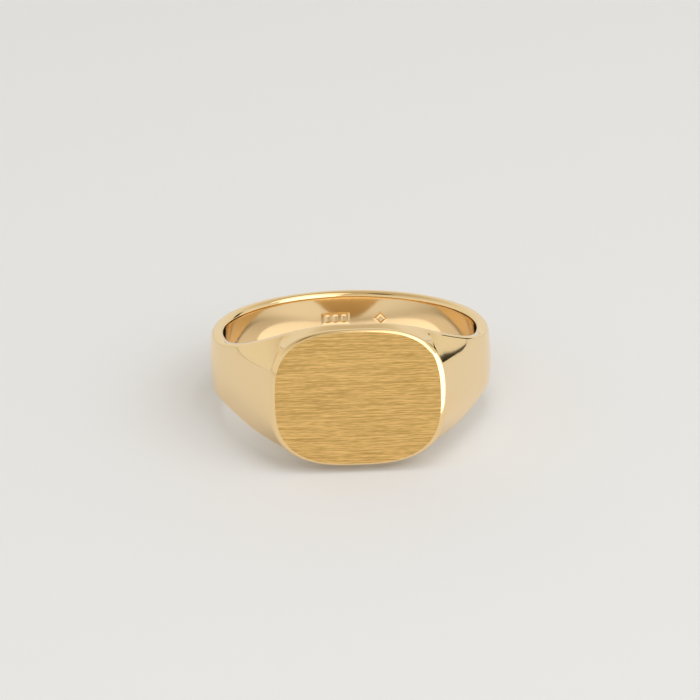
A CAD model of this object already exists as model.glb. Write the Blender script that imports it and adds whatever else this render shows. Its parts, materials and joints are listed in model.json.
"""A gold signet ring lying on its side: a polished band, shoulders and head, and a brushed cushion face.

The ring is worked out in its own frame, in millimetres: the bore's axis is Z and the face looks toward -Y.
Its polished skin is where one field is zero, so the pieces on both sides of a solder seam share one smooth
surface. The skin is traced in sections, each in a plane through the bore's axis, and swept round the finger.
"""

import json
import math

import bpy
import numpy as np
from mathutils import Matrix, Vector


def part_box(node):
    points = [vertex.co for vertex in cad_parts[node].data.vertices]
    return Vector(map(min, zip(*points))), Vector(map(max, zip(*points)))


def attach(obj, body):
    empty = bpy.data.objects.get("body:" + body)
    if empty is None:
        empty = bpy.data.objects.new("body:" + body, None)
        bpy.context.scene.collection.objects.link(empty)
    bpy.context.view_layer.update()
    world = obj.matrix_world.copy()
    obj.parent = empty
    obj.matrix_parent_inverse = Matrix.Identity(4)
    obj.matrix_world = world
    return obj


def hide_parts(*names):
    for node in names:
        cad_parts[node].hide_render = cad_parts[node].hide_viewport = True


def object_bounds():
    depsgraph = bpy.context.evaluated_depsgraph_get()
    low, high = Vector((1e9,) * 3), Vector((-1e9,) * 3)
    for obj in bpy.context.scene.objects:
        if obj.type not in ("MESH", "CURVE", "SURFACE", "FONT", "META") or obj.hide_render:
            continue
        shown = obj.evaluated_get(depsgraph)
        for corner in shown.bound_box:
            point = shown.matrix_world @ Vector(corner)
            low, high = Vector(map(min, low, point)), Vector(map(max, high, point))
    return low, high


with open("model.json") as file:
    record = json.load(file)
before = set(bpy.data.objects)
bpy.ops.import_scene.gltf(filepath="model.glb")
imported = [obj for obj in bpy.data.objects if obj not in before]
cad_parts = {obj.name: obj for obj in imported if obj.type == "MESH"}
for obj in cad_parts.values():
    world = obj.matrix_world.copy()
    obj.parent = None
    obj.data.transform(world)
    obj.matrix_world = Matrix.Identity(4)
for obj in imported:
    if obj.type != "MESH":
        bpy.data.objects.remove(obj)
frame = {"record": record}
cad_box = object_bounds()

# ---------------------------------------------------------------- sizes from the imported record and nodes
MM = 0.001
MOUNTS = {m["name"]: m for m in frame["record"]["mounts"]}
BORE_AXIS = Vector(MOUNTS["finger_bore"]["axis"]).normalized()
TILT = math.atan2(BORE_AXIS.y, BORE_AXIS.z)
BORE_R = MOUNTS["finger_bore"]["dims"]["r_mm"]
CREST_H = MOUNTS["finger_bore"]["dims"]["length_mm"]
FACE_Y = Vector(MOUNTS["signet_face"]["pos_m"]).length / MM
FACE_W = (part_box("face_plate")[1].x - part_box("face_plate")[0].x) / MM
BAND_R = (cad_box[1][0] - cad_box[0][0]) / 2 / MM
TO_REST = Matrix.Rotation(-TILT, 4, "X")
TO_ROOM = TO_REST @ Matrix.Scale(MM, 4)

# The CAD source's other driving sizes, in millimetres
BAND_W = 4.4
FACE_H = 9.46
CROWN_R = 14.0
PLATE_T = 0.3
SOLDER_T = 0.06
BEVEL_SIDE, BEVEL_END = 0.38, 0.16
SQUARENESS = 2.86
BOW_R = 48.0
FLARE_START = 1.7
FLARE_R = 9.6

PLATE_Y = FACE_Y - PLATE_T
HEAD_Y = PLATE_Y - SOLDER_T
HALF_W, HALF_H = FACE_W / 2, FACE_H / 2
CORNER_R = math.hypot(HALF_W, HEAD_Y)
HEAD_ANGLE = math.atan2(HALF_W, HEAD_Y)
BOW_OFFSET = BOW_R - BAND_R
SHANK_ANGLE = HEAD_ANGLE + math.acos(
    (BAND_R * (2 * BOW_R - BAND_R) - CORNER_R**2) / (2 * BOW_OFFSET * CORNER_R))
BOW_CENTRE = (-BOW_OFFSET * math.sin(SHANK_ANGLE), BOW_OFFSET * math.cos(SHANK_ANGLE))
SEAM_ANGLE = SOLDER_T / BAND_R

# The rim is a land that narrows at the head. A facet falls from it to the wall's upper edge, at least as
# steeply as FACET_FALL once it is past the head.
LAND_R, CREST_R = 9.5, 8.95
LAND_DROP = 0.10
WALL_EDGE_Z = 2.05
FACET_FALL = 0.8
CORNER_ANGLE = math.atan2(HALF_W * (1 - (WALL_EDGE_Z / HALF_H) ** SQUARENESS) ** (1 / SQUARENESS), HEAD_Y)

# How far polishing has rounded each kind of edge, in millimetres
BORE_EDGE, BACK_BORE_EDGE = 0.5, 0.52
LAND_EDGE, CREST_EDGE = 0.16, 0.16
CREASE, LOWER_CREASE, BAND_EDGE = 0.07, 0.4, 0.3


# ---------------------------------------------------------------- the polished skin as a field
def smoothstep(low, high, value):
    t = np.clip((value - low) / (high - low), 0, 1)
    return t * t * (3 - 2 * t)


def ease(from_degrees, to_degrees, angle):
    """Goes from 0 to 1 between two angles round the bore, which count from the face."""
    return smoothstep(math.radians(from_degrees), math.radians(to_degrees), angle)


def soft_max(a, b, reach):
    """The larger of two fields, with the edge between their surfaces rounded over reach."""
    overlap = np.maximum(reach - np.abs(a - b), 0)
    return np.maximum(a, b) + overlap * overlap / (4 * reach)


def outline_height(x):
    """Half the height of the face's outline at x."""
    return HALF_H * np.clip(1 - np.abs(x / HALF_W) ** SQUARENESS, 0, 1) ** (1 / SQUARENESS)


def land_height(angle):
    """Half the length of the bore's wall: level behind, and flaring on an arc to the crest."""
    run = np.clip(BORE_R * np.cos(angle) - FLARE_START, 0, FLARE_R)
    arc = BAND_W / 2 + FLARE_R - np.sqrt(FLARE_R**2 - run**2)
    return -soft_max(-arc, -CREST_H / 2, CREST_EDGE)


def land_reach(angle):
    """Distance from the bore's axis to the land's outer edge."""
    return CREST_R + (LAND_R - CREST_R) * ease(12, 34, angle)


def wall_r(angle, z):
    """Distance from the bore's axis to the wall, at a height where the band's crown has pulled it in."""
    radius = BOW_R - z * z / (2 * CROWN_R)
    along = BOW_CENTRE[0] * np.sin(angle) - BOW_CENTRE[1] * np.cos(angle)
    bow = along + np.sqrt(radius**2 - BOW_OFFSET**2 + along**2)
    return np.where(angle < SHANK_ANGLE, bow, BAND_R - z * z / (2 * CROWN_R))


def mark_depth(x, z):
    """How deep two plain punches press into the back of the bore: a panel of bars, and a lozenge."""
    depth, soft, mid_z = 0.03, 0.2, 0.2
    panel_x, panel_w, panel_h = -0.6, 2.1, 0.9
    pitch, bar_w, bar_h = 0.59, 0.25, 0.54
    lozenge_x, lozenge_reach, core_reach = 2.6, 0.52, 0.2
    u, w = x - panel_x, z - mid_z
    panel = smoothstep(0, soft, np.minimum(panel_w / 2 - np.abs(u), panel_h / 2 - np.abs(w)))
    from_bar = np.abs(u - pitch * np.clip(np.round(u / pitch), -1, 1))
    bars = smoothstep(-0.1, 0.1, bar_w / 2 - from_bar) * smoothstep(-0.1, 0.1, bar_h / 2 - np.abs(w))
    spread = np.abs(x - lozenge_x) + np.abs(w)
    lozenge = smoothstep(0, soft, lozenge_reach - spread) * smoothstep(0, soft, spread - core_reach)
    return depth * np.maximum(panel * (1 - bars), lozenge)


def skin(p):
    """Below zero in the metal and above zero outside it, in about millimetres. p is (..., 3)."""
    x, y, z = np.abs(p[..., 0]), p[..., 1], np.abs(p[..., 2])
    r = np.hypot(x, y)
    angle = np.arctan2(x, -y)
    bow = np.hypot(x - BOW_CENTRE[0], y - BOW_CENTRE[1]) - BOW_R
    wall = np.where(angle < SHANK_ANGLE, bow, r - BAND_R) + z * z / (2 * CROWN_R)
    land_r = land_reach(angle)
    drop = LAND_DROP / (land_r - BORE_R)
    land_z = land_height(angle)
    land = z - land_z + drop * (r - BORE_R)
    front_r = HEAD_Y / np.cos(np.minimum(angle, CORNER_ANGLE))
    low_r = np.where(angle < CORNER_ANGLE, front_r, wall_r(angle, WALL_EDGE_Z))
    low_z = np.where(angle < CORNER_ANGLE, outline_height(HEAD_Y * np.tan(np.minimum(angle, CORNER_ANGLE))),
                     WALL_EDGE_Z)
    fall = np.clip((land_z - LAND_DROP - low_z) / np.maximum(low_r - land_r, 0.02), -0.5, 6)
    fall = fall + (np.maximum(fall, FACET_FALL) - fall) * ease(31, 40, angle)
    facet = (z - low_z + fall * (r - low_r)) / np.sqrt(1 + fall**2)
    upper = soft_max(land, facet, LAND_EDGE)
    front = np.where(p[..., 2] > 0, CREASE, LOWER_CREASE)
    crease = front + (BAND_EDGE - front) * ease(70, 88, angle)
    bore = BORE_R - r - np.where(y > 0, mark_depth(p[..., 0], p[..., 2]), 0)
    bore_edge = BORE_EDGE + (BACK_BORE_EDGE - BORE_EDGE) * ease(70, 120, angle)
    return soft_max(soft_max(upper, wall, crease), bore, bore_edge)


def outward(p):
    """The skin's unit normals at p."""
    step = 1e-3
    slope = np.stack([skin(p + step * axis) - skin(p - step * axis) for axis in np.eye(3)], -1)
    return slope / np.linalg.norm(slope, axis=-1, keepdims=True)


# ---------------------------------------------------------------- sections round the finger
ROWS = 118
RAYS = 480
HALVINGS = 30


def resample(curve):
    """ROWS points along a section, drawn together where it bends and on the middle of the bore."""
    length = np.concatenate([[0], np.cumsum(np.linalg.norm(np.diff(curve, axis=0), axis=1))])
    even = np.linspace(0, length[-1], 1000)
    q = np.stack([np.interp(even, length, curve[:, i]) for i in (0, 1)], 1)
    way = np.gradient(q, even, axis=0)
    turn = np.abs(np.gradient(np.unwrap(np.arctan2(way[:, 1], way[:, 0])), even))
    turn = np.convolve(np.pad(turn, 12, mode="edge"), np.ones(25) / 25, "valid")
    density = 1 / 0.14 + np.minimum(turn * 8, 1 / 0.02) + (even < 0.8) / 0.05
    count = np.concatenate([[0], np.cumsum((density[1:] + density[:-1]) / 2)])
    at = np.interp(np.linspace(0, count[-1], ROWS), count, even)
    return np.stack([np.interp(at, length, curve[:, i]) for i in (0, 1)], 1)


def section(angle, up):
    """Half a section: from the middle of the bore, over the rim, to the outside or the face's outline."""
    side = min(abs(angle), 2 * math.pi - abs(angle))
    heading = np.array([math.sin(angle), -math.cos(angle), 0.0])
    upright = np.array([0.0, 0.0, up])
    in_head = side < HEAD_ANGLE - 1e-9
    rim = float(land_height(side))
    if side <= HEAD_ANGLE:
        out_r = HEAD_Y / math.cos(side)
    else:
        out_r = CORNER_R + (BAND_R - CORNER_R) * min(side, 1.2) / 1.2
    end = np.array([out_r, float(outline_height(out_r * math.sin(side))) if in_head else 0.0])
    middle = np.array([(BORE_R + min(out_r, BORE_R + 2)) / 2, 0.0])
    rim_r = min(out_r, BORE_R + 1) if in_head else out_r
    corners = np.array([(BORE_R, 0.0), (BORE_R, rim), (rim_r, rim), end])
    legs = [np.linspace(a, b, RAYS // 3, endpoint=False) for a, b in zip(corners, corners[1:])]
    rays = np.concatenate([*legs, end[None]]) - middle
    rays /= np.linalg.norm(rays, axis=1, keepdims=True)
    low, high = np.zeros(len(rays)), np.full(len(rays), 8.0)
    for _ in range(HALVINGS):
        half_way = (low + high) / 2
        q = middle + rays * half_way[:, None]
        p = q[:, :1] * heading + q[:, 1:] * upright
        inside = (skin(p) < 0) & ((-p[:, 1] < HEAD_Y) | (not in_head))
        low, high = np.where(inside, half_way, low), np.where(inside, high, half_way)
    curve = middle + rays * low[:, None]
    if in_head:
        curve[-1] = end
    q = resample(curve)
    p = q[:, :1] * heading + q[:, 1:] * upright
    p[0, 2] = 0
    if not in_head:
        p[-1, 2] = 0
    return p


def sections(angles):
    """(K, 2, ROWS, 3): the upper and lower halves of the sections at these angles."""
    return np.array([[section(float(a), up) for up in (1, -1)] for a in angles])


# ---------------------------------------------------------------- meshes
def add_mesh(name, points, faces, normals, cap_faces, materials, face_material=None):
    """Makes the object from ring-frame points. Cap faces are flat, and the others take the given normals."""
    merged, index = np.unique(np.round(points, 6) + 0.0, axis=0, return_inverse=True)
    index = index.ravel()
    source = np.zeros(len(merged), int)
    source[index] = np.arange(len(points))
    rings, flat, paint = [], [], []
    for f, face in enumerate(list(faces) + list(cap_faces)):
        ring = [int(index[v]) for v in face]
        ring = [v for i, v in enumerate(ring) if v != ring[i - 1]]
        if len(set(ring)) > 2:
            rings.append(ring)
            flat.append(f >= len(faces))
            paint.append(0 if face_material is None or f >= len(faces) else face_material[f])
    mesh = bpy.data.meshes.new(name)
    mesh.from_pydata(merged.tolist(), [], rings)
    for material in materials:
        mesh.materials.append(material)
    mesh.polygons.foreach_set("material_index", paint)
    mesh.polygons.foreach_set("use_smooth", [True] * len(rings))
    mesh.update()
    smooth = normals[source]
    loops = []
    for poly, is_flat in zip(mesh.polygons, flat):
        loops += [poly.normal[:] if is_flat else smooth[v].tolist() for v in poly.vertices]
    mesh.normals_split_custom_set(loops)
    mesh.transform(TO_ROOM)
    piece = bpy.data.objects.new(name, mesh)
    bpy.context.scene.collection.objects.link(piece)
    return piece


def quads(columns, rows, first=0, flip=False):
    """Quads over a grid of points that are numbered column by column."""
    made = []
    for k in range(columns - 1):
        for j in range(rows - 1):
            a = first + k * rows + j
            ring = [a, a + rows, a + rows + 1, a + 1]
            made.append(ring[::-1] if flip else ring)
    return made


def arc_piece(name, angles, material, face=False):
    """A stretch of the ring between two angles, with flat ends. In the head, the front is flat too."""
    halves = sections(angles)
    count = len(angles)
    points = halves.transpose(1, 0, 2, 3).reshape(-1, 3)
    lower = count * ROWS
    faces = quads(count, ROWS, flip=True) + quads(count, ROWS, lower)

    def end_ring(k):
        upper_row = [k * ROWS + j for j in range(ROWS)]
        lower_row = [lower + k * ROWS + j for j in range(ROWS)]
        return upper_row + lower_row[::-1]

    caps = [end_ring(0)[::-1], end_ring(count - 1)]
    if face:
        last = ROWS - 1
        upper_edge = [k * ROWS + last for k in range(count)]
        caps.append([lower + v for v in upper_edge] + upper_edge[::-1])
    return add_mesh(name, points, faces, outward(points), caps, [material])


def cushion_ring(half_w, half_h, y, turns):
    """The face's outline at one size and distance, counted from the right side over the top."""
    c, s = np.cos(turns), np.sin(turns)
    x = half_w * np.sign(c) * np.abs(c) ** (2 / SQUARENESS)
    z = half_h * np.sign(s) * np.abs(s) ** (2 / SQUARENESS)
    return np.stack([x, np.full_like(x, -y), z], 1)


def slab_piece(name, profile, materials, edge_material=0):
    """A plate with the face's outline. Each row of profile, from front to back, is the inset at the sides,
    the inset at the ends, and the distance from the bore's axis."""
    turns = np.linspace(0, 2 * np.pi, 289)[:-1]
    rings = np.array([cushion_ring(HALF_W - a, HALF_H - b, y, turns) for a, b, y in profile])
    count = len(turns)
    closed = np.concatenate([rings, rings[:, :1]], 1)
    along = np.gradient(np.concatenate([rings[:, -1:], rings, rings[:, :1]], 1), axis=1)[:, 1:-1]
    across = np.gradient(rings, axis=0)
    normals = np.cross(across, along)
    normals /= np.maximum(np.linalg.norm(normals, axis=-1, keepdims=True), 1e-12)
    normals = np.concatenate([normals, normals[:, :1]], 1)
    faces = quads(len(profile), count + 1)
    front = list(range(count))
    back = [(len(profile) - 1) * (count + 1) + j for j in range(count)]
    return add_mesh(name, closed.reshape(-1, 3), faces, normals.reshape(-1, 3), [front, back[::-1]],
                    materials, [edge_material] * len(faces))


# ---------------------------------------------------------------- materials
def gold(name, colour, roughness):
    material = bpy.data.materials.new(name)
    material.use_nodes = True
    shader = material.node_tree.nodes["Principled BSDF"]
    shader.inputs["Base Color"].default_value = (*colour, 1)
    shader.inputs["Metallic"].default_value = 1
    shader.inputs["Roughness"].default_value = roughness
    return material


def plain(name, colour, roughness=0.8):
    material = gold(name, colour, roughness)
    material.node_tree.nodes["Principled BSDF"].inputs["Metallic"].default_value = 0
    return material


def add_streaks(material, light, dark):
    """Brush lines along X, in the colour and the relief: short and long streaks under 0.1 mm apart."""
    tree = material.node_tree
    shader = tree.nodes["Principled BSDF"]
    place = tree.nodes.new("ShaderNodeTexCoord")

    def streaks(along, across, detail):
        stretch = tree.nodes.new("ShaderNodeMapping")
        stretch.inputs["Scale"].default_value = (along, across, across)
        noise = tree.nodes.new("ShaderNodeTexNoise")
        noise.inputs["Scale"].default_value = 1
        noise.inputs["Detail"].default_value = detail
        noise.inputs["Roughness"].default_value = 0.6
        tree.links.new(place.outputs["Object"], stretch.inputs["Vector"])
        tree.links.new(stretch.outputs["Vector"], noise.inputs["Vector"])
        return noise.outputs["Fac"]

    def join(kind, a, b):
        node = tree.nodes.new("ShaderNodeMath")
        node.operation = kind
        tree.links.new(a, node.inputs[0])
        tree.links.new(b, node.inputs[1])
        return node.outputs[0]

    short = streaks(1300, 23000, 1)
    long = streaks(240, 14000, 1)
    mixed = join("ADD", short, long)
    tint = tree.nodes.new("ShaderNodeValToRGB")
    low, high = tint.color_ramp.elements
    low.position, low.color = 0.40, (*dark, 1)
    high.position, high.color = 0.60, (*light, 1)
    halve = tree.nodes.new("ShaderNodeMath")
    halve.operation = "MULTIPLY"
    halve.inputs[1].default_value = 0.5
    tree.links.new(mixed, halve.inputs[0])
    tree.links.new(halve.outputs[0], tint.inputs["Fac"])
    tree.links.new(tint.outputs["Color"], shader.inputs["Base Color"])
    relief = tree.nodes.new("ShaderNodeBump")
    relief.inputs["Strength"].default_value = 0.35
    relief.inputs["Distance"].default_value = 0.00003
    tree.links.new(mixed, relief.inputs["Height"])
    tree.links.new(relief.outputs["Normal"], shader.inputs["Normal"])


polished = gold("polished_gold", (0.95, 0.72, 0.41), 0.07)
seam_gold = gold("solder_gold", (0.95, 0.73, 0.43), 0.09)
bevel_gold = gold("bevel_gold", (0.95, 0.71, 0.39), 0.10)
brushed = gold("brushed_gold", (0.78, 0.50, 0.19), 0.34)
add_streaks(brushed, (0.89, 0.58, 0.22), (0.57, 0.35, 0.11))


# ---------------------------------------------------------------- the pieces
def head_angles():
    """From the head's left corner to its right one, spaced as points along the face's outline are."""
    quarter = np.pi / 2 * (1 - np.linspace(0, 1, 64) ** 0.8)
    x = HALF_W * np.cos(quarter) ** (2 / SQUARENESS)
    right = np.arctan2(x, HEAD_Y)
    right[0], right[-1] = 0, HEAD_ANGLE
    return np.concatenate([-right[:0:-1], right])


def shank_angles():
    """Round the back of the finger, closely spaced by the facets' ends and across the marks."""
    taper, marks = math.radians(86), math.radians(158)
    right = np.concatenate([np.linspace(SHANK_ANGLE, taper, 30)[:-1], np.linspace(taper, marks, 50)[:-1],
                            np.linspace(marks, math.pi, 90)])
    return np.concatenate([right, 2 * math.pi - right[-2::-1]])


shoulder_angles = np.linspace(HEAD_ANGLE + SEAM_ANGLE, SHANK_ANGLE - SEAM_ANGLE, 76)
head_seam = np.array([HEAD_ANGLE, HEAD_ANGLE + SEAM_ANGLE])
shank_seam = np.array([SHANK_ANGLE - SEAM_ANGLE, SHANK_ANGLE])

made = {"shank": (arc_piece("gold_shank", shank_angles(), polished), "polished_gold")}
for word, sign in (("right", 1), ("left", -1)):
    turn = slice(None, None, sign)
    for node, angles, material, finish in (
            ("shoulder", shoulder_angles, polished, "polished_gold"),
            ("solder_head", head_seam, seam_gold, "solder_gold"),
            ("solder_shank", shank_seam, seam_gold, "solder_gold")):
        piece = arc_piece(f"gold_{node}_{word}", (sign * angles)[turn], material)
        made[f"{node}_{word}"] = (piece, finish)
made["head"] = (arc_piece("gold_head", head_angles(), polished, face=True), "polished_gold")
seam_profile = [(0, 0, PLATE_Y), (0, 0, HEAD_Y)]
made["solder_face"] = (slab_piece("gold_solder_face", seam_profile, [seam_gold]), "solder_gold")


def plate_profile():
    """The plate's edge from the brushed table out to the rim: a bevel that steepens as it goes."""
    rows = []
    for t in np.linspace(0, 1, 13):
        rise = 0.6 * t + 0.4 * t**3
        rows.append((BEVEL_SIDE * (1 - t), BEVEL_END * (1 - t) ** 3, FACE_Y - PLATE_T * rise))
    return rows


face_plate = slab_piece("gold_face_plate", plate_profile(), [brushed, bevel_gold], 1)
made["face_plate"] = (face_plate, "brushed_gold")
for node, (piece, finish) in made.items():
    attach(piece, "root")
    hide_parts(node)


# ---------------------------------------------------------------- camera, floor and light
def place_camera():
    """The photograph's angle, given in the ring's frame: nearly square to the face and a little above it."""
    azimuth, elevation, roll = math.radians(-2.62), math.radians(16.6), math.radians(1.2)
    distance, lens, sensor = 250.0, 185.6, 36.0
    aim_right, aim_up = -0.023, 0.387
    back = Vector((math.sin(azimuth) * math.cos(elevation), -math.cos(azimuth) * math.cos(elevation),
                   math.sin(elevation)))
    right = Vector((math.cos(azimuth), math.sin(azimuth), 0))
    up = back.cross(right)
    across = right * math.cos(roll) - up * math.sin(roll)
    upward = right * math.sin(roll) + up * math.cos(roll)
    data = bpy.data.cameras.new("camera")
    data.lens, data.sensor_width = lens, sensor
    data.clip_start, data.clip_end = 0.01, 10
    camera = bpy.data.objects.new("camera", data)
    bpy.context.scene.collection.objects.link(camera)
    turn = Matrix((across, upward, back)).transposed().to_4x4()
    place = back * distance + across * aim_right + upward * aim_up
    camera.matrix_world = TO_REST @ Matrix.Translation(place * MM) @ turn
    bpy.context.scene.camera = camera


def rectangle(name, width, depth, material):
    x, y = width / 2, depth / 2
    mesh = bpy.data.meshes.new(name)
    mesh.from_pydata([(-x, -y, 0), (x, -y, 0), (x, y, 0), (-x, y, 0)], [], [(0, 1, 2, 3)])
    mesh.materials.append(material)
    thing = bpy.data.objects.new(name, mesh)
    bpy.context.scene.collection.objects.link(thing)
    return thing


def softbox(name, place, size, radiance, colour=(1, 1, 1)):
    """An area light that faces the ring. radiance is how bright its surface looks."""
    light = bpy.data.lights.new(name, "AREA")
    light.shape = "RECTANGLE"
    light.size, light.size_y = size
    light.energy = radiance * math.pi * size[0] * size[1]
    light.color = colour
    lamp = bpy.data.objects.new(name, light)
    bpy.context.scene.collection.objects.link(lamp)
    lamp.location = place
    lamp.rotation_euler = Vector(place).to_track_quat("Z", "Y").to_euler()
    return lamp


def toward(azimuth, elevation, distance):
    """A place seen from the ring: azimuth counts from the front toward +X, in degrees."""
    a, e = math.radians(azimuth), math.radians(elevation)
    return Vector((math.sin(a) * math.cos(e), -math.cos(a) * math.cos(e), math.sin(e))) * distance


def dark_card(name, azimuth, elevation, distance, size):
    """A black card that only the polished gold sees."""
    card = rectangle(name, *size, plain(name + "_black", (0.004, 0.003, 0.003)))
    card.location = toward(azimuth, elevation, distance)
    card.rotation_euler = card.location.to_track_quat("Z", "Y").to_euler()
    card.visible_camera = False
    card.visible_diffuse = False
    card.visible_shadow = False


def build_world():
    """A pale room that is darker overhead."""
    world = bpy.data.worlds.new("studio")
    world.use_nodes = True
    tree = world.node_tree
    place = tree.nodes.new("ShaderNodeTexCoord")
    parts = tree.nodes.new("ShaderNodeSeparateXYZ")
    shade = tree.nodes.new("ShaderNodeValToRGB")
    low, high = shade.color_ramp.elements
    low.position, low.color = 0.35, (0.82, 0.80, 0.72, 1)
    high.position, high.color = 0.85, (0.54, 0.48, 0.37, 1)
    tree.links.new(place.outputs["Generated"], parts.inputs["Vector"])
    tree.links.new(parts.outputs["Z"], shade.inputs["Fac"])
    tree.links.new(shade.outputs["Color"], tree.nodes["Background"].inputs["Color"])
    bpy.context.scene.world = world


def add_floor():
    floor = rectangle("floor", 3, 3, plain("floor_paper", (0.70, 0.72, 0.77)))
    floor.location.z = cad_box[0][2]


def add_softboxes():
    """The key and the window, and two lights that fill the shadows without showing in the gold."""
    softbox("key", toward(62, 60, 0.6), (0.55, 0.50), 0.9, (1, 0.985, 0.96))
    softbox("window", toward(40, 33, 0.6), (0.62, 0.40), 1.2, (1, 0.99, 0.97))
    overhead = softbox("overhead", toward(20, 84, 0.6), (0.30, 0.30), 2.2)
    front_fill = softbox("front_fill", toward(-20, 45, 0.6), (0.30, 0.30), 1.2)
    overhead.visible_glossy = False
    front_fill.visible_glossy = False


def add_reflection_lights():
    """Two small lights that show only in the gold: one for the right bevel alone, and one inside the bore."""
    floor_z = cad_box[0][2]
    reflector = softbox("reflector", (0.019, -0.0128, floor_z + 0.006), (0.013, 0.012), 1.6)
    glow = softbox("glow", (0, 0, floor_z + 0.0004), (0.012, 0.012), 0.37)
    glow.data.shape = "DISK"
    plate_only = bpy.data.collections.new("plate_only")
    plate_only.objects.link(face_plate)
    reflector.light_linking.receiver_collection = plate_only
    for lamp in (reflector, glow):
        lamp.visible_camera = False
        lamp.visible_diffuse = False


def build_studio():
    add_floor()
    build_world()
    dark_card("dark_flag", 126.3, 10.5, 0.25, (0.049, 0.094))
    dark_card("top_flag", -52, 60, 0.25, (0.07, 0.09))
    add_softboxes()
    add_reflection_lights()
    bpy.context.scene.view_settings.view_transform = "Standard"


place_camera()
build_studio()

bpy.context.view_layer.update()
